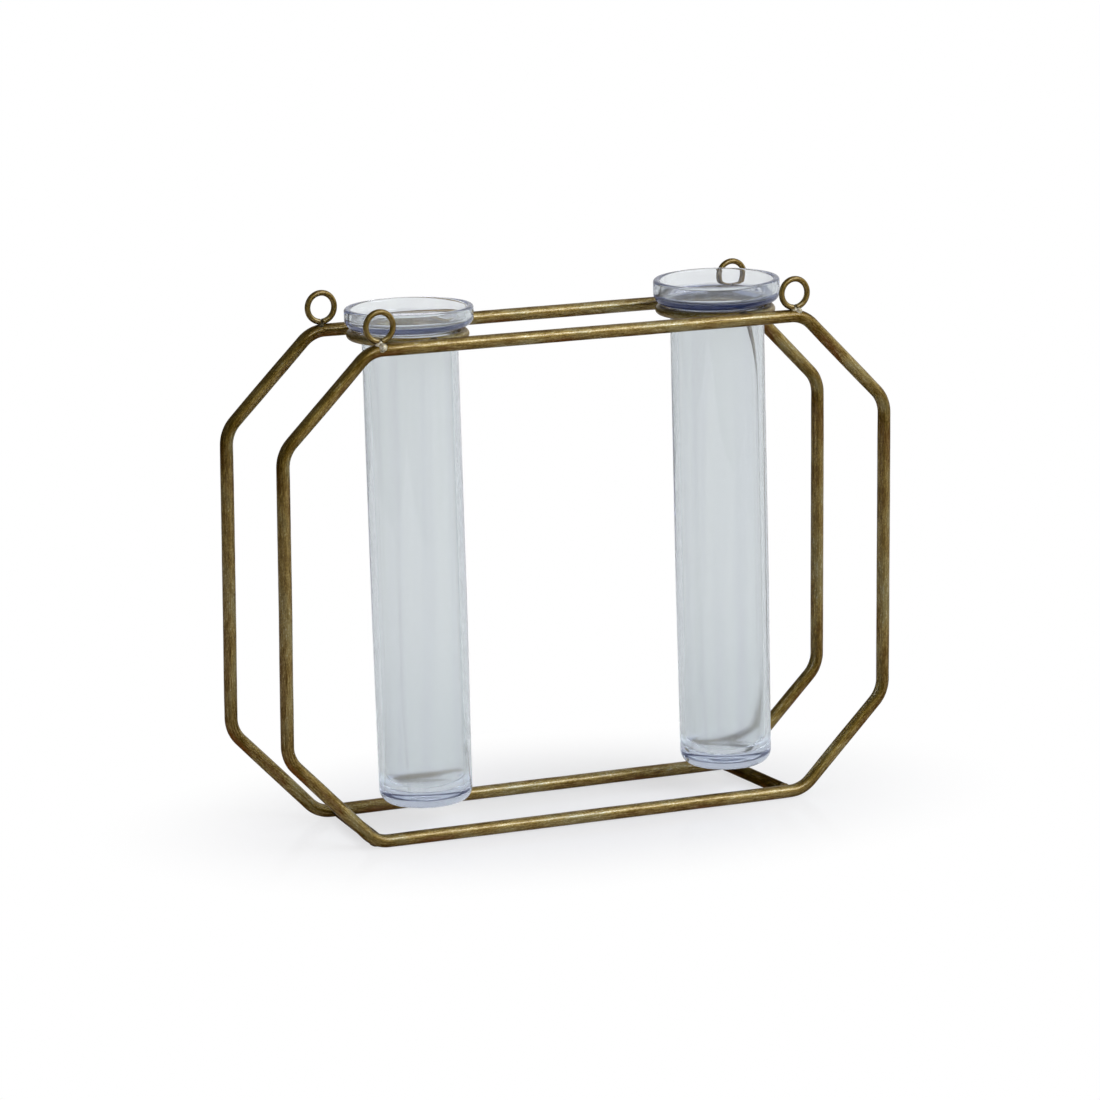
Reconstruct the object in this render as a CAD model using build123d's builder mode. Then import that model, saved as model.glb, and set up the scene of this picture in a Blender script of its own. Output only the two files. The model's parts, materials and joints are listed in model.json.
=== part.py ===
from build123d import *
from math import atan, cos, degrees, hypot, radians, sqrt, tan
import os

# Test tube vase: a pair of cut-corner wire loops stand side by side and carry wire rings
# between their top wires. A lipped glass tube hangs in each ring and lifts straight out.
# Millimetres. X runs along the frame, Y from front to rear, and Z is up from the floor.

# Glass tubes
tube_length = 150.0
tube_dia = 28.5
glass_wall = 2.0
base_thickness = 4.5
base_inner_round = 5.0
foot_round = 4.0
foot_narrowing = 0.7
foot_taper_length = 55.0
foot_clearance = 7.8
lip_height = 6.5
left_lip_drop = 0.35
right_lip_rise = 0.8
lip_flare = 4.9
lip_round_share = 0.6
neck_round_share = 0.22
lip_inner_round_share = 0.3
mouth_round_share = 0.65
rim_round_share = 0.4

# How each tube hangs: degrees that its foot swings towards +X and towards +Y
left_tube_lean = (1.2, -0.8)
right_tube_lean = (1.5, 0.45)
tube_shift = 0.5
seat_clearance = 0.2

# Tube rings
ring_wire_dia = 2.8
ring_clearance = 1.15
ring_rise = 0.5
ring_spacing = 102.4
ring_shift = 1.4

# Wire loops and the bars between them
wire_dia = 4.0
weld_gap = 0.8
side_reach = 50.3
corner_leg = 28.0
bend_radius = 9.8
bend_angle = 45.0
bar_inset = 1.0
bar_end_gap = 0.2
# The left bar stands askew: its front end lies further out, its rear end further in
left_bar_front_shift = 4.1
left_bar_rear_shift = 1.2

# Hanging eyelets
eyelet_dia = 10.4
eyelet_wire_dia = 1.75
eyelet_gap_angle = 5.0
eyelet_bed = 0.25
eyelet_outset = 1.0
rear_right_eyelet_outset = 1.9

# Braze and weld beads
bead_proud = 0.3
bead_floor_gap = 0.2

# Sizes that follow from these
tube_radius = tube_dia / 2
bore_radius = tube_radius - glass_wall
foot_radius = tube_radius - foot_narrowing / 2
lip_radius = tube_radius + lip_flare
lip_round = min(lip_flare, lip_height) * lip_round_share
neck_round = lip_flare * neck_round_share
lip_inner_round = min(lip_flare, lip_height - glass_wall) * lip_inner_round_share
# The flare keeps an even wall, so its inner bend goes round the neck's bend at the wall's distance
mouth_round = min(neck_round + glass_wall, lip_flare * mouth_round_share)
rim_round = glass_wall * rim_round_share

wire_radius = wire_dia / 2
ring_wire_radius = ring_wire_dia / 2
ring_mid_radius = tube_radius + ring_clearance + ring_wire_radius
loop_y = ring_mid_radius + ring_wire_radius + weld_gap + wire_radius


def lean_slope(lean):
    return hypot(tan(radians(lean[0])), tan(radians(lean[1])))


# The lip's low side comes down on the ring when a tube leans, so the seat stands that much higher
most_lean = max(lean_slope(left_tube_lean), lean_slope(right_tube_lean))
seat_lift = (ring_mid_radius + tube_shift) * most_lean + seat_clearance

seat_z = foot_clearance + tube_length - lip_height
ring_z = seat_z - seat_lift - ring_wire_radius
bottom_wire_z = wire_radius
top_wire_z = ring_z - ring_rise
top_of_wire_z = top_wire_z + wire_radius

half_width = ring_spacing / 2 + side_reach - wire_radius
half_run = half_width - corner_leg
bend_start = half_run - bend_radius * tan(radians(bend_angle / 2))
bar_x = bend_start - bar_inset
eyelet_wire_radius = eyelet_wire_dia / 2
eyelet_mid_radius = eyelet_dia / 2 - eyelet_wire_radius
bend_outer_radius = bend_radius + wire_radius

eyelet_bead_radius = eyelet_wire_dia + bead_proud
ring_weld_radius = (ring_wire_dia + weld_gap) / 2 + bead_proud
bar_weld_radius = wire_radius + bead_proud

sides = {"left": -1, "right": 1}
faces = {"front": -1, "rear": 1}
tube_leans = {"left": left_tube_lean, "right": right_tube_lean}
rim_heights = {"left": lip_height - left_lip_drop, "right": lip_height + right_lip_rise}
bar_ends = {
    "left": {"front": -bar_x - left_bar_front_shift, "rear": -bar_x + left_bar_rear_shift},
    "right": {"front": bar_x, "rear": bar_x},
}
eyelet_outsets = {
    "front": {"left": eyelet_outset, "right": eyelet_outset},
    "rear": {"left": eyelet_outset, "right": rear_right_eyelet_outset},
}

os.makedirs("parts", exist_ok=True)


def keep(piece, name):
    piece.part.label = name
    export_step(piece.part, f"parts/{name}.step")


def facing_front(x, y, z):
    return Plane(origin=(x, y, z), x_dir=(1, 0, 0), z_dir=(0, -1, 0))


# Wire loops: one round wire bent at eight corners, closed on itself
loops = {}
for face, toward in faces.items():
    with BuildPart() as loop:
        with BuildLine(facing_front(0, toward * loop_y, 0)) as loop_path:
            FilletPolyline(
                (-half_run, bottom_wire_z),
                (half_run, bottom_wire_z),
                (half_width, bottom_wire_z + corner_leg),
                (half_width, top_wire_z - corner_leg),
                (half_run, top_wire_z),
                (-half_run, top_wire_z),
                (-half_width, top_wire_z - corner_leg),
                (-half_width, bottom_wire_z + corner_leg),
                radius=bend_radius,
                close=True,
            )
        loop_start = loop_path.line
        with BuildSketch(Plane(origin=loop_start @ 0, z_dir=loop_start % 0)):
            Circle(wire_radius)
        sweep()
    keep(loop, f"{face}_loop")
    loops[face] = loop.part

# Tube rings: a closed turn of thinner wire for each tube, between the top wires
rings = {}
ring_x = {}
for side, away in sides.items():
    ring_x[side] = away * ring_spacing / 2 + ring_shift
    ring_axis = Axis((ring_x[side], 0, ring_z), (0, 0, 1))
    with BuildPart() as ring:
        with BuildSketch(facing_front(ring_x[side], 0, ring_z)):
            with Locations((ring_mid_radius, 0)):
                Circle(ring_wire_radius)
        revolve(axis=ring_axis)
    keep(ring, f"{side}_tube_ring")
    rings[side] = ring.part

# Bars that hold the loops apart at the floor, cut square just short of the loop wire
bars = {}
for side, ends in bar_ends.items():
    bar_line = Vector(ends["rear"] - ends["front"], 2 * loop_y, 0)
    bar_middle = ((ends["front"] + ends["rear"]) / 2, 0, bottom_wire_z)
    skew = atan(bar_line.X / bar_line.Y)
    # A square end that stands askew turns one edge towards the loop, so the bar is that much shorter
    bar_reach = (loop_y - wire_radius - bar_end_gap) / cos(skew) - wire_radius * tan(abs(skew))
    with BuildPart() as bar:
        with BuildSketch(Plane(origin=bar_middle, x_dir=(0, 0, 1), z_dir=bar_line)):
            Circle(wire_radius)
        extrude(amount=bar_reach, both=True)
    keep(bar, f"{side}_base_bar")
    bars[side] = bar.part

# Eyelets: a small turn of thin wire whose ends meet on top of the loop, and the braze that holds it
# They stand just past the start of the bends, where the top of the wire is a little lower
for face, toward in faces.items():
    for side, away in sides.items():
        outset = eyelet_outsets[face][side]
        eyelet_x = away * (bend_start + outset)
        eyelet_drop = bend_outer_radius - sqrt(bend_outer_radius**2 - outset**2)
        eyelet_foot_z = top_of_wire_z - eyelet_drop
        eyelet_z = eyelet_foot_z + eyelet_dia / 2 - eyelet_bed
        with BuildPart() as eyelet:
            with BuildLine(facing_front(eyelet_x, toward * loop_y, eyelet_z)) as turn:
                CenterArc((0, 0), eyelet_mid_radius, eyelet_gap_angle - 90, 360 - 2 * eyelet_gap_angle)
            with BuildSketch(Plane(origin=turn.line @ 0, z_dir=turn.line % 0)):
                Circle(eyelet_wire_radius)
            sweep()
            add(loops[face], mode=Mode.SUBTRACT)
        keep(eyelet, f"{face}_{side}_eyelet")

        with BuildPart() as eyelet_bead:
            with Locations((eyelet_x, toward * loop_y, eyelet_foot_z)):
                Sphere(eyelet_bead_radius)
            add(loops[face], mode=Mode.SUBTRACT)
            add(eyelet.part, mode=Mode.SUBTRACT)
        keep(eyelet_bead, f"{face}_{side}_eyelet_braze")

# Welds where each ring meets a top wire
for side in sides:
    for face, toward in faces.items():
        weld_y = toward * (loop_y - wire_radius - weld_gap / 2)
        with BuildPart() as ring_weld:
            with Locations((ring_x[side], weld_y, top_wire_z + ring_rise / 2)):
                Sphere(ring_weld_radius)
            add(loops[face], mode=Mode.SUBTRACT)
            add(rings[side], mode=Mode.SUBTRACT)
        keep(ring_weld, f"{side}_ring_{face}_weld")

# Welds round the ends of the base bars, kept just off the floor
for side, ends in bar_ends.items():
    for face, toward in faces.items():
        with BuildPart() as bar_weld:
            weld_y = toward * (loop_y - wire_radius)
            with Locations((ends[face], weld_y, bar_weld_radius + bead_floor_gap)):
                Sphere(bar_weld_radius)
            add(loops[face], mode=Mode.SUBTRACT)
            add(bars[side], mode=Mode.SUBTRACT)
        keep(bar_weld, f"{side}_bar_{face}_weld")

# Glass tubes: one turned wall from the thick foot to the flared lip that sits on the ring
foot_z = lip_height - tube_length
for side, lean in tube_leans.items():
    seat = Vector(ring_x[side] + tube_shift, 0, seat_z)
    rim_z = rim_heights[side]
    tube_up = Vector(-tan(radians(lean[0])), -tan(radians(lean[1])), 1).normalized()
    across = Vector(0, 1, 0).cross(tube_up).normalized()
    with BuildPart() as tube:
        with BuildSketch(Plane(origin=seat, x_dir=across, z_dir=across.cross(tube_up))):
            with BuildLine():
                wall = FilletPolyline(
                    (0, foot_z),
                    (foot_radius, foot_z),
                    (tube_radius, foot_z + foot_taper_length),
                    (tube_radius, 0),
                    (lip_radius, 0),
                    (lip_radius, rim_z),
                    (lip_radius - glass_wall, rim_z),
                    (lip_radius - glass_wall, glass_wall),
                    (bore_radius, glass_wall),
                    (bore_radius, foot_z + base_thickness),
                    (0, foot_z + base_thickness),
                    radius=[
                        foot_round,
                        foot_taper_length,
                        neck_round,
                        lip_round,
                        rim_round,
                        rim_round,
                        lip_inner_round,
                        mouth_round,
                        base_inner_round,
                    ],
                )
                Line(wall @ 1, wall @ 0)
            make_face()
        revolve(axis=Axis(seat, tube_up))
    keep(tube, f"{side}_tube")

print("loop centre lines", loop_y, "top wire", top_wire_z, "bend start", bend_start)
print("tube bore", bore_radius, "seat", seat_z, "most lean", degrees(atan(most_lean)))
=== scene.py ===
import bpy
import json
import math
from mathutils import Matrix, Vector, noise


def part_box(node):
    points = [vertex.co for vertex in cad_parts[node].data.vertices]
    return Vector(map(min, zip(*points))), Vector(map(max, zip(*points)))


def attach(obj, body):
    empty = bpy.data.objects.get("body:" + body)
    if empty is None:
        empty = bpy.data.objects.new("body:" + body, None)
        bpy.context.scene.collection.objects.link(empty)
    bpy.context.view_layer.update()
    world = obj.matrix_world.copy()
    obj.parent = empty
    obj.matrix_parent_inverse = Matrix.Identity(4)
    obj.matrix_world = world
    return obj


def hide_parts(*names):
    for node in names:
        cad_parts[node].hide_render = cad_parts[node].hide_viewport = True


# Test tube vase: aged brass wire frame with brazed eyelets, and a lipped glass tube in each ring. Metres.
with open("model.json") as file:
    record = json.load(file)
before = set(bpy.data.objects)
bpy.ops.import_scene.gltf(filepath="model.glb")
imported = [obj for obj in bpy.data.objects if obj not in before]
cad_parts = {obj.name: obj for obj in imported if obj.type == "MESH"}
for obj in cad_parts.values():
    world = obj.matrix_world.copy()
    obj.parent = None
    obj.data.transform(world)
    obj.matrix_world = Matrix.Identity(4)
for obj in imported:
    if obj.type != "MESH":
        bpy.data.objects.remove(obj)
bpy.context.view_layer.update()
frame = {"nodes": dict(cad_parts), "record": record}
sides = {"left": -1, "right": 1}
faces = {"front": -1, "rear": 1}
print("frame loaded with", len(frame["nodes"]), "nodes")


class Paint:  # wraps a socket, so that a sum on values adds its Math nodes
    def __init__(self, tree, socket=None):
        self.tree = tree
        self.socket = socket

    def node(self, kind, settings=(), sockets=(), out=0):
        made = self.tree.nodes.new(kind)
        for name, value in dict(settings).items():
            if name == "stops":  # a colour ramp's places and colours
                for place, shade in value[1:-1]:
                    made.color_ramp.elements.new(place).color = shade
                for end, (place, shade) in ((0, value[0]), (-1, value[-1])):
                    made.color_ramp.elements[end].position = place
                    made.color_ramp.elements[end].color = shade
            else:
                setattr(made, name, value)
        for name, value in dict(sockets).items():
            if isinstance(value, Paint):
                self.tree.links.new(value.socket, made.inputs[name])
            else:
                made.inputs[name].default_value = value
        return Paint(self.tree, made.outputs[out] if made.outputs else None)

    def math(self, operation, first, second):
        return self.node("ShaderNodeMath", {"operation": operation}, {0: first, 1: second})

    def __add__(self, other):
        return self.math("ADD", self, other)

    def __radd__(self, other):
        return self.math("ADD", other, self)

    def __sub__(self, other):
        return self.math("SUBTRACT", self, other)

    def __rsub__(self, other):
        return self.math("SUBTRACT", other, self)

    def __mul__(self, other):
        return self.math("MULTIPLY", self, other)

    def __rmul__(self, other):
        return self.math("MULTIPLY", other, self)

    def most(self, other):
        return self.math("MAXIMUM", self, other)

    def step(self, low, high):  # 0 at low, 1 at high, smooth between them
        span = {"Value": self, "From Min": low, "From Max": high}
        return self.node("ShaderNodeMapRange", {"interpolation_type": "SMOOTHSTEP"}, span)

    def mix(self, factor, first, second):  # colours
        return self.node("ShaderNodeMix", {"data_type": "RGBA"}, {0: factor, 6: first, 7: second}, 2)

    def stretch(self, scales):  # a vector, times one scale for each axis
        return self.node("ShaderNodeVectorMath", {"operation": "MULTIPLY"}, {0: self, 1: scales})

    def grain(self, scale, detail, roughness):  # noise, 0 to 1
        wanted = {"Vector": self, "Scale": scale, "Detail": detail, "Roughness": roughness}
        return self.node("ShaderNodeTexNoise", (), wanted)


def startMaterial(name):
    material = bpy.data.materials.new(name)
    material.use_nodes = True
    material.node_tree.nodes.clear()
    return material, Paint(material.node_tree)


def colour(red, green, blue):  # screen values, 0 to 255, as linear light
    def linear(value):
        share = value / 255
        return share / 12.92 if share <= 0.04045 else ((share + 0.055) / 1.055) ** 2.4
    return (linear(red), linear(green), linear(blue), 1.0)


def addPiece(name, points, polygons, material, body, node):
    mesh = bpy.data.meshes.new(name)
    mesh.from_pydata(points, [], polygons)
    mesh.validate()
    mesh.shade_smooth()
    mesh.materials.append(material)
    piece = bpy.data.objects.new(name, mesh)
    bpy.context.scene.collection.objects.link(piece)
    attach(piece, body)
    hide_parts(node)
    return piece


# Aged brass on drawn wire: dark patina, rubbed through to paler metal in fine lengthwise lines
brassSpec = {
    "stops": [
        (0.20, colour(45, 33, 4)),
        (0.38, colour(95, 72, 8)),
        (0.52, colour(129, 102, 21)),
        (0.66, colour(164, 139, 58)),
        (0.80, colour(210, 202, 162)),
        (0.94, colour(236, 232, 218)),
    ],
    "edge": (0.55, 0.46, 0.3, 1.0),  # how much is left of the light that grazes the wire
    "rust": colour(112, 68, 30),
    "olive": colour(106, 100, 50),
    "lineScale": (260.0, 3000.0, 3000.0),  # per metre: along the wire, then across it
    "lineGrain": (1.0, 4.0, 0.62),  # scale, detail and roughness of the noise
    "patchScale": (75.0, 240.0, 240.0),
    "patchGrain": (1.0, 3.0, 0.5),
    "speckScale": (1400.0, 3000.0, 3000.0),
    "speckGrain": (1.0, 3.0, 0.65),
    "lineRub": 0.7,  # how far each noise moves the tone
    "patchRub": 0.5,
    "speckRub": 0.6,
    "topWearAndHighlight": 0.1,  # painted highlight: the upper side is drawn paler, partly also as wear
    "topFrom": (0.0, 0.45),  # upward share of the normal, where the paler upper side comes in and goes out
    "topTo": (1.0, 0.6),
    "bendAndShadeDark": 0.08,
    # painted shade: the underside of the wire is drawn darker
    "underShade": 0.08,
    "underShadeTurn": (0.0, -0.7),
    "oliveShare": 0.45,
    "olivePatches": (0.5, 0.72),
    "rustShare": 0.65,
    "rustPatches": (0.52, 0.34),
    "rustTurn": (0.35, -0.5),  # rust sits on the sides and below
    "pitSpecks": (0.37, 0.27),
    "roughness": 0.41,
    "patchRoughness": 0.16,
    "pitRoughness": 0.2,
    "metal": 0.95,
    "lineRelief": 0.4,
    "speckRelief": 0.6,
    "bumpStrength": 0.6,
    "bumpDepth": 0.00005,
    "coat": 0.9,  # clear coat, strongest where the metal is drawn pale, by wear and by the painted highlight
    "coatRubbed": (0.28, 0.66),
    "coatRoughness": 0.25,
    "coatIndex": 1.78,
}


def agedBrass():
    spec = brassSpec
    material, paint = startMaterial("agedBrass")
    coord = paint.node("ShaderNodeAttribute", {"attribute_name": "wireCoord"}, (), "Vector")
    bend = paint.node("ShaderNodeAttribute", {"attribute_name": "wireBend"}, (), "Fac")
    facing = paint.node("ShaderNodeNewGeometry", (), (), "Normal")
    up = paint.node("ShaderNodeSeparateXYZ", (), {0: facing}, "Z")
    lines = coord.stretch(spec["lineScale"]).grain(*spec["lineGrain"])
    patches = coord.stretch(spec["patchScale"]).grain(*spec["patchGrain"])
    specks = coord.stretch(spec["speckScale"]).grain(*spec["speckGrain"])
    # noise varies about 0.5, and so does the tone
    # the tone: wear, with a painted highlight on top, painted shade below and on the bars, and darker at
    # the bends
    wearLightAndShade = 0.5 + (lines - 0.5) * spec["lineRub"] + (patches - 0.5) * spec["patchRub"]
    wearLightAndShade = wearLightAndShade + (specks - 0.5) * spec["speckRub"]
    # painted highlight: a paler upper side, partly also wear
    wearLightAndShade = wearLightAndShade + up.step(*spec["topFrom"]) * up.step(*spec["topTo"]) * spec["topWearAndHighlight"]
    # darker at the bends, eyelets and beads, and painted shade on the bars
    wearLightAndShade = wearLightAndShade - bend * spec["bendAndShadeDark"]
    # painted shade: a darker underside
    wearLightAndShade = wearLightAndShade - up.step(*spec["underShadeTurn"]) * spec["underShade"]
    tone = paint.node("ShaderNodeValToRGB", {"stops": spec["stops"]}, {0: wearLightAndShade})
    olive = patches.step(*spec["olivePatches"]) * spec["oliveShare"]
    tone = paint.mix(olive, tone, spec["olive"])
    rust = patches.step(*spec["rustPatches"]) * up.step(*spec["rustTurn"]) * spec["rustShare"]
    tone = paint.mix(rust, tone, spec["rust"])
    pits = specks.step(*spec["pitSpecks"])
    roughness = spec["roughness"] + spec["patchRoughness"] * patches + spec["pitRoughness"] * pits
    normal = paint.node("ShaderNodeBump", (), {
        "Strength": spec["bumpStrength"], "Distance": spec["bumpDepth"],
        "Height": lines * spec["lineRelief"] + specks * spec["speckRelief"],
    })
    shader = paint.node("ShaderNodeBsdfPrincipled", (), {
        "Base Color": tone, "Roughness": roughness, "Metallic": spec["metal"], "Normal": normal,
        "Coat Weight": wearLightAndShade.step(*spec["coatRubbed"]) * spec["coat"],
        "Coat Roughness": spec["coatRoughness"], "Coat IOR": spec["coatIndex"],
        "Specular Tint": spec["edge"],
    })
    paint.node("ShaderNodeOutputMaterial", (), {"Surface": shader})
    return material


# Braze: silvery at the front eyelets, and a duller, darker copy at the rear eyelets and the ring welds
brazeSpec = {
    "silver": colour(226, 220, 196),
    "straw": colour(188, 172, 120),
    "tarnish": colour(74, 66, 40),
    "lumpGrain": (700.0, 3.0, 0.6),  # scale, detail and roughness of the noise
    "flakeGrain": (1900.0, 2.0, 0.6),
    "silverFlakes": (0.35, 0.6),
    "bareLumps": {"brazeBright": (0.7, 0.45), "brazeDull": (0.4, 0.25)},  # from tarnish to bare metal
    "roughness": 0.3,
    "lumpRoughness": 0.3,
    "metal": 0.6,
    "flakeRelief": 0.5,
    "bumpStrength": 0.7,
    "bumpDepth": 0.00012,
}


def brazeMetal(name):
    spec = brazeSpec
    material, paint = startMaterial(name)
    place = paint.node("ShaderNodeTexCoord", (), (), "Object")
    lumps = place.grain(*spec["lumpGrain"])
    flakes = place.grain(*spec["flakeGrain"])
    tone = paint.mix(flakes.step(*spec["silverFlakes"]), spec["straw"], spec["silver"])
    tone = paint.mix(lumps.step(*spec["bareLumps"][name]), spec["tarnish"], tone)
    roughness = spec["roughness"] + spec["lumpRoughness"] * lumps
    normal = paint.node("ShaderNodeBump", (), {
        "Strength": spec["bumpStrength"], "Distance": spec["bumpDepth"],
        "Height": lumps + spec["flakeRelief"] * flakes,
    })
    shader = paint.node("ShaderNodeBsdfPrincipled", (), {
        "Base Color": tone, "Roughness": roughness, "Metallic": spec["metal"], "Normal": normal,
    })
    paint.node("ShaderNodeOutputMaterial", (), {"Surface": shader})
    return material


# Drawn glass: a little hazy, with a grey-blue outer face and bluer along its depth
glassSpec = {
    "clear": (0.755, 0.802, 0.790, 1.0),  # tint of the outer face
    "streak": (0.712, 0.751, 0.760, 1.0),
    "streakScale": (260.0, 260.0, 5.0),
    "streakGrain": (1.0, 3.0, 0.5),  # scale, detail and roughness of the noise
    "streakTurn": (0.4, 0.65),
    "inner": (1.0, 1.0, 1.0, 1.0),  # the inner face has no tint
    "outerTurn": (0.0, 0.2),  # values of glassOuter between the inner face and the outer one
    "deep": (0.02, 0.035, 0.11, 1.0),  # painted reflection: a dark navy band just under the lip
    "reflectionFrom": (0.1496, 0.1510),  # heights over which that colour comes in and goes out
    "reflectionTo": (0.1546, 0.1526),
    "footTint": (0.36, 0.46, 0.52, 1.0),
    "footShare": 0.1,
    "footTop": (0.075, 0.012),  # heights over which the foot's tint comes in
    "groundTop": (0.06, 0.02),  # and over which the inside of the wall turns dull
    "groundRoughness": 0.2,
    "mostBounces": (3.4, 3.6),  # past these the renderer drops light inside the glass
    "footGlow": (0.82, 0.86, 0.76, 1.0),  # and these stand in for it, as painted light: a pale glow at the foot
    # painted light: at the lip the glow is dark navy
    "lipGlow": (0.05, 0.06, 0.11, 1.0),
    "noLight": (0.0, 0.0, 0.0, 1.0),
    "waveScale": (120.0, 120.0, 9.0),
    "waveGrain": (1.0, 2.0, 0.4),
    "waveStrength": 0.25,
    "waveDepth": 0.00025,
    "index": 1.45,
    "clearness": 0.92,
    "absorbed": (0.55, 0.585, 0.76, 1.0),
    "density": 36.0,
}


def drawnGlass():
    spec = glassSpec
    material, paint = startMaterial("drawnGlass")
    place = paint.node("ShaderNodeTexCoord", (), (), "Object")
    streaks = place.stretch(spec["streakScale"]).grain(*spec["streakGrain"])
    waves = place.stretch(spec["waveScale"]).grain(*spec["waveGrain"])
    tone = paint.mix(streaks.step(*spec["streakTurn"]), spec["clear"], spec["streak"])
    height = paint.node("ShaderNodeSeparateXYZ", (), {0: place}, "Z")
    outer = paint.node("ShaderNodeAttribute", {"attribute_name": "glassOuter"}, (), "Fac")
    inside = 1 - outer.step(*spec["outerTurn"])
    tone = paint.mix(inside, tone, spec["inner"])
    # painted reflection: a dark navy band under the lip, stronger on the right tube
    deep = height.step(*spec["reflectionFrom"]) * height.step(*spec["reflectionTo"]) * outer
    tone = paint.mix(height.step(*spec["footTop"]) * spec["footShare"], tone, spec["footTint"])
    tone = paint.mix(deep, tone, spec["deep"])
    dull = height.step(*spec["groundTop"]) * inside * spec["groundRoughness"]
    normal = paint.node("ShaderNodeBump", (), {
        "Strength": spec["waveStrength"], "Distance": spec["waveDepth"], "Height": waves,
    })
    bounces = paint.node("ShaderNodeLightPath", (), (), "Glossy Depth")
    # painted light: the glass glows where the renderer drops light, pale at the foot and dark navy at the
    # lip
    glow = paint.mix(height.step(*spec["footTop"]), spec["lipGlow"], spec["footGlow"])
    lost = paint.mix(bounces.step(*spec["mostBounces"]), spec["noLight"], glow)
    shader = paint.node("ShaderNodeBsdfPrincipled", (), {
        "Base Color": tone, "Roughness": dull, "IOR": spec["index"],
        "Transmission Weight": spec["clearness"], "Normal": normal,
        "Emission Color": lost, "Emission Strength": 1.0,
    })
    material.cycles.emission_sampling = "NONE"  # it lights nothing else
    depth = paint.node("ShaderNodeVolumeAbsorption", (), {
        "Color": spec["absorbed"], "Density": spec["density"],
    })
    paint.node("ShaderNodeOutputMaterial", (), {"Surface": shader, "Volume": depth})
    return material


brass = agedBrass()
brazeBright = brazeMetal("brazeBright")
brazeDull = brazeMetal("brazeDull")
glass = drawnGlass()
print("finishes made")


def roundedRoute(corners, radii, runStep, arcSteps, closed):
    # straight runs with round corners, as (point, is it on a bend)
    count = len(corners)
    stretches = []
    for place, corner in enumerate(corners):
        if not closed and place in (0, count - 1):
            stretches.append([corner])
            continue
        back = (corners[place - 1] - corner).normalized()
        ahead = (corners[(place + 1) % count] - corner).normalized()
        turn = math.pi - back.angle(ahead)
        radius = radii[place]
        middle = corner + (back + ahead).normalized() * radius / math.cos(turn / 2)
        start = corner + back * radius * math.tan(turn / 2) - middle
        end = corner + ahead * radius * math.tan(turn / 2) - middle
        arc = []
        for part in range(arcSteps + 1):
            share = part / arcSteps
            spoke = start * math.sin((1 - share) * turn) + end * math.sin(share * turn)
            arc.append(middle + spoke / math.sin(turn))
        stretches.append(arc)
    route = []
    for place, arc in enumerate(stretches):
        route += [(point, len(arc) > 1) for point in arc]
        if place == count - 1 and not closed:
            break
        following = stretches[(place + 1) % count][0]
        parts = max(1, round((following - arc[-1]).length / runStep))
        route += [(arc[-1].lerp(following, part / parts), False) for part in range(1, parts)]
    return route


# Wires: tubes swept along their centre lines, with the way along and around kept for the finish
wireSpec = {
    "around": 28,
    "runStep": 0.0025,
    "arcSteps": 12,
    "wobble": 0.00007,
    "wobbleScale": 45.0,
    "dent": 0.012,  # share of the radius
    "dentScale": 420.0,
    "flattening": 0.03,  # share of the radius, at a bend
    "bendReach": 0.006,
}


def keepCoords(mesh, coords, bendAndShadeShares):
    layer = mesh.attributes.new("wireCoord", "FLOAT_VECTOR", "POINT")
    layer.data.foreach_set("vector", [value for coord in coords for value in coord])
    layer = mesh.attributes.new("wireBend", "FLOAT", "POINT")
    layer.data.foreach_set("value", bendAndShadeShares)


def sweepWire(name, route, radius, flat, closed, body, node, shade=0.0):
    spec = wireSpec
    around = spec["around"]
    count = len(route)
    points = [point for point, bent in route]
    along = [0.0]
    for place in range(1, count):
        along.append(along[-1] + (points[place] - points[place - 1]).length)
    total = along[-1] + (points[0] - points[-1]).length
    bends = [along[place] for place, (point, bent) in enumerate(route) if bent]
    verts, coords, bendAndShadeShares = [], [], []
    for place, point in enumerate(points):
        before = points[place - 1] if closed or place else point
        after = points[(place + 1) % count] if closed or place < count - 1 else point
        ahead = (after - before).normalized()
        out = flat.cross(ahead).normalized()
        gap = min((abs(along[place] - bend) for bend in bends), default=1.0)
        share = math.exp(-((gap / spec["bendReach"]) ** 2))
        shadeShare = max(share, shade)
        lengthwise = along[place]
        if closed:  # there and back again, so that the finish has no seam
            lengthwise = min(lengthwise, total - lengthwise)
        shift = spec["wobble"] * noise.noise(point * spec["wobbleScale"])
        for turn in range(around):
            angle = 2 * math.pi * turn / around
            spoke = out * math.cos(angle) * (1 - spec["flattening"] * share)
            spoke = spoke + flat * math.sin(angle) * (1 + spec["flattening"] * share)
            dent = 1 + spec["dent"] * noise.noise((point + spoke * radius) * spec["dentScale"])
            verts.append(point + out * shift + spoke * radius * dent)
            coords.append((lengthwise, math.cos(angle) * radius, math.sin(angle) * radius))
            bendAndShadeShares.append(shadeShare)
    polygons = []
    for place in range(count if closed else count - 1):
        following = (place + 1) % count
        for turn in range(around):
            nextTurn = (turn + 1) % around
            ring = [place * around + turn, place * around + nextTurn]
            ring += [following * around + nextTurn, following * around + turn]
            polygons.append(ring)
    if not closed:  # ends
        for place, order in ((0, -1), (count - 1, 1)):
            polygons.append([place * around + turn for turn in range(around)][::order])
    piece = addPiece(name, verts, polygons, brass, body, node)
    keepCoords(piece.data, coords, bendAndShadeShares)


# Loops: cut-corner rectangles of one wire
loopSpec = {"cornerLeg": 0.028, "bendRadius": 0.0098}


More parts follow.
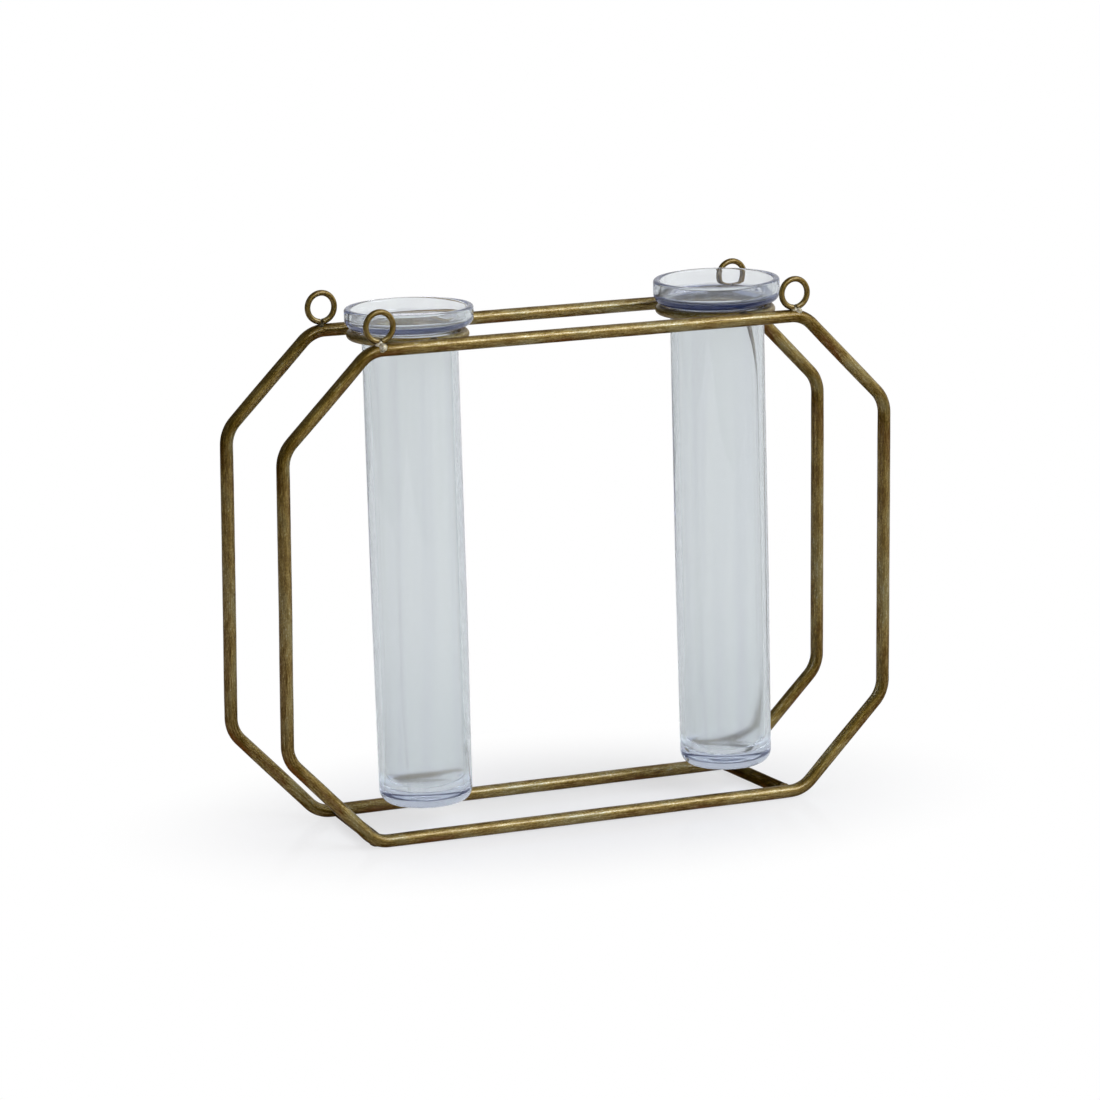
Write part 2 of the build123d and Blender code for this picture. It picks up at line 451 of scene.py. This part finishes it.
def makeLoop(face):
    node = f"{face}_loop"
    low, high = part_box(node)
    radius = (high.y - low.y) / 2
    middle = (high.y + low.y) / 2
    right, bottom, top = high.x - radius, low.z + radius, high.z - radius
    leg = loopSpec["cornerLeg"]
    run = right - leg
    outline = [(run, bottom), (right, bottom + leg), (right, top - leg), (run, top)]
    outline += [(-run, top), (-right, top - leg), (-right, bottom + leg), (-run, bottom)]
    corners = [Vector((x, middle, z)) for x, z in outline]
    radii = [loopSpec["bendRadius"]] * len(corners)
    route = roundedRoute(corners, radii, wireSpec["runStep"], wireSpec["arcSteps"], True)
    sweepWire(f"{face}_loop_wire", route, radius, Vector((0, 1, 0)), True, "frame", node)


# Rings that hold the tubes
ringSpec = {"steps": 120}


def makeRing(side):
    node = f"{side}_tube_ring"
    low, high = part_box(node)
    radius = (high.z - low.z) / 2
    middle = (low + high) / 2
    reach = (high.x - low.x) / 2 - radius
    angles = [2 * math.pi * part / ringSpec["steps"] for part in range(ringSpec["steps"])]
    turns = [Vector((math.cos(angle), math.sin(angle), 0)) * reach for angle in angles]
    route = [(middle + turn, False) for turn in turns]
    sweepWire(f"{side}_ring_wire", route, radius, Vector((0, 0, 1)), True, "frame", node)


# Bars between the loops at the floor; painted shade: they are drawn darker than the rest of the wire, as
# in the shade under the tubes
barSpec = {"shade": 3.5}


def makeBar(side):
    node = f"{side}_base_bar"
    low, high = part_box(node)
    radius = (high.z - low.z) / 2
    stops = []
    for face in faces:  # the bar points from weld to weld
        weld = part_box(f"{side}_bar_{face}_weld")
        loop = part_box(f"{face}_loop")
        stops.append(Vector(((weld[0].x + weld[1].x) / 2, (loop[0].y + loop[1].y) / 2, low.z + radius)))
    middle = (stops[0] + stops[1]) / 2
    ahead = (stops[1] - stops[0]).normalized()
    reach = ((high.y - low.y) / 2 - radius * abs(ahead.x)) / ahead.y
    ends = [middle - ahead * reach, middle + ahead * reach]
    parts = round((ends[1] - ends[0]).length / wireSpec["runStep"])
    route = [(ends[0].lerp(ends[1], part / parts), False) for part in range(parts + 1)]
    flat = Vector((0, 0, 1))
    # painted shade: the bar's share darkens the whole bar
    sweepWire(f"{side}_bar_wire", route, radius, flat, False, "frame", node, barSpec["shade"])


# Eyelets: a turn of thin wire, its ends meeting on the loop
eyeletSpec = {"steps": 64, "gapAngle": 5.0, "shade": 0.5}


def makeEyelet(face, side):
    node = f"{face}_{side}_eyelet"
    low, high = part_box(node)
    radius = (high.y - low.y) / 2
    reach = (high.x - low.x) / 2 - radius
    middle = Vector(((low.x + high.x) / 2, (low.y + high.y) / 2, high.z - radius - reach))
    gap = math.radians(eyeletSpec["gapAngle"])
    route = []
    for part in range(eyeletSpec["steps"] + 1):
        angle = gap + (2 * math.pi - 2 * gap) * part / eyeletSpec["steps"] - math.pi / 2
        route.append((middle + Vector((math.cos(angle), 0, math.sin(angle))) * reach, False))
    flat = Vector((0, 1, 0))
    sweepWire(f"{face}_{side}_eyelet_wire", route, radius, flat, False, "frame", node, eyeletSpec["shade"])


for face in faces:
    makeLoop(face)
    for side in sides:
        makeEyelet(face, side)
for side in sides:
    makeRing(side)
    makeBar(side)
print("wires made")


# Beads: lumps run together round a joint, each lump (x, y, z, radius) in shares of the bead's radius
beadSpec = {
    "rings": 36,
    "around": 48,
    "shade": 1.0,  # as dark as a bend
    "roughness": 0.05,
    "lumpScale": 620.0,
    "front_left_eyelet_braze": [
        (0, 0, -0.1, 0.6), (0.22, 0.6, -0.5, 0.66), (0.0, 0.7, -0.75, 0.5), (-0.4, 0.2, -0.2, 0.42),
    ],
    "front_right_eyelet_braze": [(0, 0, -0.1, 0.56), (0.5, 0.35, -0.25, 0.56), (-0.3, 0.1, -0.2, 0.42)],
    "rear_left_eyelet_braze": [(0, 0, -0.12, 0.5), (-0.2, -0.35, -0.25, 0.45), (0.35, 0.1, -0.25, 0.36)],
    "rear_right_eyelet_braze": [(0, 0, -0.1, 0.54), (-0.35, 0.3, -0.25, 0.5), (0.3, -0.1, -0.2, 0.4)],
    "ringWeld": [(0, 0, 0, 0.9), (0.4, 0.1, 0.1, 0.62), (-0.45, 0.0, -0.1, 0.6)],
    "barWeld": [(0, 0, -0.19, 0.87), (0.0, -0.3, -0.2, 0.86)],
}


def makeBead(node, lumps, outward, material):
    spec = beadSpec
    low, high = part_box(node)
    radius = (high.x - low.x) / 2
    centre = Vector(((low.x + high.x) / 2, (low.y + high.y) / 2, high.z - radius))
    shapes = [(Vector((x, y * outward, z)) * radius, share * radius) for x, y, z, share in lumps]

    def reach(spoke):
        best = 0.0
        for place, size in shapes:
            near = spoke.dot(place)
            room = near * near - place.dot(place) + size * size
            if room > 0:
                best = max(best, near + math.sqrt(room))
        swell = 1 + spec["roughness"] * noise.noise((centre + spoke * radius) * spec["lumpScale"])
        return centre + spoke * best * swell

    rings, around = spec["rings"], spec["around"]
    verts = [reach(Vector((0, 0, 1)))]
    for ring in range(1, rings):
        fall = math.pi * ring / rings
        for turn in range(around):
            angle = 2 * math.pi * turn / around
            flat = math.sin(fall)
            verts.append(reach(Vector((flat * math.cos(angle), flat * math.sin(angle), math.cos(fall)))))
    verts.append(reach(Vector((0, 0, -1))))
    last = len(verts) - 1
    polygons = []
    for turn in range(around):
        nextTurn = (turn + 1) % around
        polygons.append([0, 1 + turn, 1 + nextTurn])
        for ring in range(rings - 2):
            upper = 1 + ring * around
            lower = upper + around
            polygons.append([upper + turn, lower + turn, lower + nextTurn, upper + nextTurn])
        polygons.append([last, last - around + nextTurn, last - around + turn])
    bead = addPiece(f"{node}_bead", verts, polygons, material, "frame", node)
    keepCoords(bead.data, [vert - centre for vert in verts], [spec["shade"]] * len(verts))


for face, outward in faces.items():
    for side in sides:
        braze = f"{face}_{side}_eyelet_braze"
        makeBead(braze, beadSpec[braze], outward, brazeBright if face == "front" else brazeDull)
        makeBead(f"{side}_ring_{face}_weld", beadSpec["ringWeld"], outward, brazeDull)
        makeBead(f"{side}_bar_{face}_weld", beadSpec["barWeld"], outward, brass)
print("beads made")


# Glass tubes, turned about the leaning axis; heights run from the seat under the lip
tubeSpec = {
    "length": 0.150,
    "diameter": 0.0285,
    "wall": 0.002,
    "base": 0.0045,
    "baseInnerRound": 0.005,
    "footRound": 0.004,
    "footNarrowing": 0.0007,
    "taper": 0.055,
    "lipHeight": 0.0065,
    "rimHeights": {"left": 0.00615, "right": 0.0073},  # by hand, so each lip differs
    "lipReflection": {"left": 0.3, "right": 0.97},  # share of the painted reflection under the lip; it also marks the outer face
    "lipFlare": 0.0049,
    "lipRound": 0.00294,
    "lipInnerRound": 0.00135,
    "neckRound": 0.001078,
    "rimRound": 0.0008,
    "axisReach": 1e-6,  # nearer the axis than this, a ring is one point
    "around": 192,
    "runStep": 0.003,
    "arcSteps": 10,
    "ripple": 0.00004,
    "rippleScale": (3.0, 14.0, 500.0),  # around the tube, then per metre along it and out from its axis
    "rippleShift": 10.0,  # so that the tubes differ
}


def makeTube(side):
    spec = tubeSpec
    radius = spec["diameter"] / 2
    bore = radius - spec["wall"]
    lip = radius + spec["lipFlare"]
    foot = spec["lipHeight"] - spec["length"]
    inner = foot + spec["base"]
    mouthRound = spec["neckRound"] + spec["wall"]
    outline = [
        ((0, foot), 0),
        ((radius - spec["footNarrowing"] / 2, foot), spec["footRound"]),
        ((radius, foot + spec["taper"]), spec["taper"]),
        ((radius, 0), spec["neckRound"]),
        ((lip, 0), spec["lipRound"]),
        ((lip, spec["rimHeights"][side]), spec["rimRound"]),
        ((lip - spec["wall"], spec["rimHeights"][side]), spec["rimRound"]),
        ((lip - spec["wall"], spec["wall"]), spec["lipInnerRound"]),
        ((bore, spec["wall"]), mouthRound),
        ((bore, inner), spec["baseInnerRound"]),
        ((0, inner), 0),
    ]
    corners = [Vector((x, z)) for (x, z), size in outline]
    radii = [size for place, size in outline]
    route = roundedRoute(corners, radii, spec["runStep"], spec["arcSteps"], False)
    profile = [point for point, bent in route]
    mount = next(item for item in frame["record"]["mounts"] if item["name"] == f"{side}_tube_bore")
    upward = Vector(mount["axis"]).normalized()
    across = Vector((0, 1, 0)).cross(upward).normalized()
    deep = upward.cross(across)
    mountHeight = (inner + spec["baseInnerRound"] + spec["wall"] - mouthRound) / 2
    seat = Vector(mount["pos_m"]) - upward * mountHeight
    around = spec["around"]
    turnScale, heightScale, reachScale = spec["rippleScale"]
    verts, rings = [], []
    for reach, height in profile:
        if reach < spec["axisReach"]:
            rings.append([len(verts)])
            verts.append(seat + upward * height)
            continue
        rings.append(list(range(len(verts), len(verts) + around)))
        for turn in range(around):
            angle = 2 * math.pi * turn / around
            spot = Vector((math.cos(angle), math.sin(angle), 0)) * turnScale
            spot.z = height * heightScale + reach * reachScale + sides[side] * spec["rippleShift"]
            size = reach + spec["ripple"] * noise.noise(spot)
            spoke = across * math.cos(angle) + deep * math.sin(angle)
            verts.append(seat + upward * height + spoke * size)
    polygons = []
    for ring, following in zip(rings, rings[1:]):
        for turn in range(around):
            nextTurn = (turn + 1) % around
            if len(ring) == 1:
                polygons.append([ring[0], following[nextTurn], following[turn]])
            elif len(following) == 1:
                polygons.append([ring[turn], ring[nextTurn], following[0]])
            else:
                polygons.append([ring[turn], ring[nextTurn], following[nextTurn], following[turn]])
    piece = addPiece(f"{side}_glass", verts, polygons, glass, f"{side}_tube", f"{side}_tube")
    top = max(range(len(profile)), key=lambda place: profile[place].y)
    outer = []  # up to the top of the rim, and 0 from there down the inside
    for place, ring in enumerate(rings):
        outer += [spec["lipReflection"][side] if place <= top else 0.0] * len(ring)
    layer = piece.data.attributes.new("glassOuter", "FLOAT", "POINT")
    layer.data.foreach_set("value", outer)


for side in sides:
    makeTube(side)
print("tubes made")


# Studio: pale floor that fades to white, a key and a fill lamp, and a room that is bright at the right
studioSpec = {
    "white": (1.0, 1.0, 1.0, 1.0),
    "floorHalf": 0.5,
    "floorColour": (0.93, 0.935, 0.935, 1.0),
    "floorRoughness": 0.14,
    "floorGloss": 0.12,
    "floorWhite": 0.58,  # share of white in the floor beside the object
    "fadeShape": (0.8, 1.2, 1.0),
    "fadeFrom": 0.03,
    "fadeTo": 0.122,
    "dimRoom": 0.04,
    "brightRoom": 0.7,
    "roomTurn": (-0.3, 0.5),  # where the room goes from dim to bright, along X
    "glossWhite": 0.06,  # share of the white background that metal shows
    "glossFloor": 0.18,  # and of a white floor
    "lampAim": (0, 0, 0.07),
    "keyPlace": (0.54, -0.945, 0.88),
    "keySize": (1.2, 0.4),
    "keyWatts": 7.8,
    "keyTint": (0.92, 0.98, 1.12),
    "keyMirrored": True,
    "fillPlace": (-1.15, -0.5, 0.45),
    "fillSize": (1.0, 1.0),
    "fillWatts": 8.0,
    "fillTint": (0.97, 0.91, 1.12),
    "fillMirrored": False,  # it lights what is matt, and doesn't show in the metal
}


def makeFloor():
    spec = studioSpec
    half = spec["floorHalf"]
    mesh = bpy.data.meshes.new("floor")
    corners = [(-half, -half, 0), (half, -half, 0), (half, half, 0), (-half, half, 0)]
    mesh.from_pydata(corners, [], [(0, 1, 2, 3)])
    material, paint = startMaterial("paleFloor")
    place = paint.node("ShaderNodeTexCoord", (), (), "Object")
    stretched = place.stretch(spec["fadeShape"])
    far = paint.node("ShaderNodeVectorMath", {"operation": "LENGTH"}, {0: stretched}, "Value")
    straight = paint.node("ShaderNodeLightPath", (), (), "Is Camera Ray")
    through = paint.node("ShaderNodeLightPath", (), (), "Is Transmission Ray")
    mirrored = paint.node("ShaderNodeLightPath", (), (), "Is Glossy Ray")
    plain = paint.node("ShaderNodeBsdfPrincipled", (), {
        "Base Color": spec["floorColour"], "Roughness": spec["floorRoughness"],
        "Specular IOR Level": spec["floorGloss"],
    })
    white = paint.node("ShaderNodeEmission", (), {"Color": spec["white"], "Strength": 1.0})
    fade = far.step(spec["fadeFrom"], spec["fadeTo"]) * (1 - spec["floorWhite"]) + spec["floorWhite"]
    shown = through.most(fade * straight).most(mirrored * spec["glossFloor"])
    shader = paint.node("ShaderNodeMixShader", (), {0: shown, 1: plain, 2: white})
    paint.node("ShaderNodeOutputMaterial", (), {"Surface": shader})
    mesh.materials.append(material)
    floor = bpy.data.objects.new("floor", mesh)
    bpy.context.scene.collection.objects.link(floor)


def makeLamp(kind):
    spec = studioSpec
    name = f"{kind}Lamp"
    data = bpy.data.lights.new(name, "AREA")
    data.shape = "RECTANGLE"
    data.size, data.size_y = spec[f"{kind}Size"]
    data.energy = spec[f"{kind}Watts"]
    data.color = spec[f"{kind}Tint"]
    lamp = bpy.data.objects.new(name, data)
    lamp.location = spec[f"{kind}Place"]
    lamp.visible_glossy = spec[f"{kind}Mirrored"]
    aim = Vector(spec["lampAim"]) - lamp.location
    lamp.rotation_euler = aim.to_track_quat("-Z", "Y").to_euler()
    bpy.context.scene.collection.objects.link(lamp)


def makeWorld():
    spec = studioSpec
    world = bpy.data.worlds.new("studio")
    world.use_nodes = True
    world.node_tree.nodes.clear()
    bpy.context.scene.world = world
    paint = Paint(world.node_tree)
    straight = paint.node("ShaderNodeLightPath", (), (), "Is Camera Ray")
    through = paint.node("ShaderNodeLightPath", (), (), "Is Transmission Ray")
    mirrored = paint.node("ShaderNodeLightPath", (), (), "Is Glossy Ray")
    seen = straight.most(through).most(mirrored * spec["glossWhite"])
    toward = paint.node("ShaderNodeTexCoord", (), (), "Generated")
    right = paint.node("ShaderNodeSeparateXYZ", (), {0: toward}, "X")
    dim, bright = ((level, level, level, 1) for level in (spec["dimRoom"], spec["brightRoom"]))
    room = paint.mix(right.step(*spec["roomTurn"]), dim, bright)
    light = paint.mix(seen, room, spec["white"])
    back = paint.node("ShaderNodeBackground", (), {"Color": light, "Strength": 1.0})
    paint.node("ShaderNodeOutputWorld", (), {"Surface": back})


# Camera, from the vanishing lines and sizes in the photograph
cameraSpec = {
    "azimuth": -26.0546,
    "elevation": 11.2345,
    "roll": -0.3476,
    "aim": (0.003656, 0.014721, 0.076662),
    "distance": 1.733376,
    "lens": 186.789,
    "sensor": 36.0,
}


def makeCamera():
    turn, rise, roll = (math.radians(cameraSpec[name]) for name in ("azimuth", "elevation", "roll"))
    back = Vector((math.sin(turn) * math.cos(rise), -math.cos(turn) * math.cos(rise), math.sin(rise)))
    right = Vector((math.cos(turn), math.sin(turn), 0))
    up = back.cross(right)
    tiltedRight = right * math.cos(roll) + up * math.sin(roll)
    tiltedUp = up * math.cos(roll) - right * math.sin(roll)
    data = bpy.data.cameras.new("camera")
    data.lens = cameraSpec["lens"]
    data.sensor_width = cameraSpec["sensor"]
    camera = bpy.data.objects.new("camera", data)
    place = Vector(cameraSpec["aim"]) + back * cameraSpec["distance"]
    facing = Matrix((tiltedRight, tiltedUp, back)).transposed().to_4x4()
    camera.matrix_world = Matrix.Translation(place) @ facing
    bpy.context.scene.collection.objects.link(camera)
    bpy.context.scene.camera = camera


makeFloor()
for kind in ("key", "fill"):
    makeLamp(kind)
makeWorld()
makeCamera()
bpy.context.scene.view_settings.view_transform = "Standard"
print("studio set")
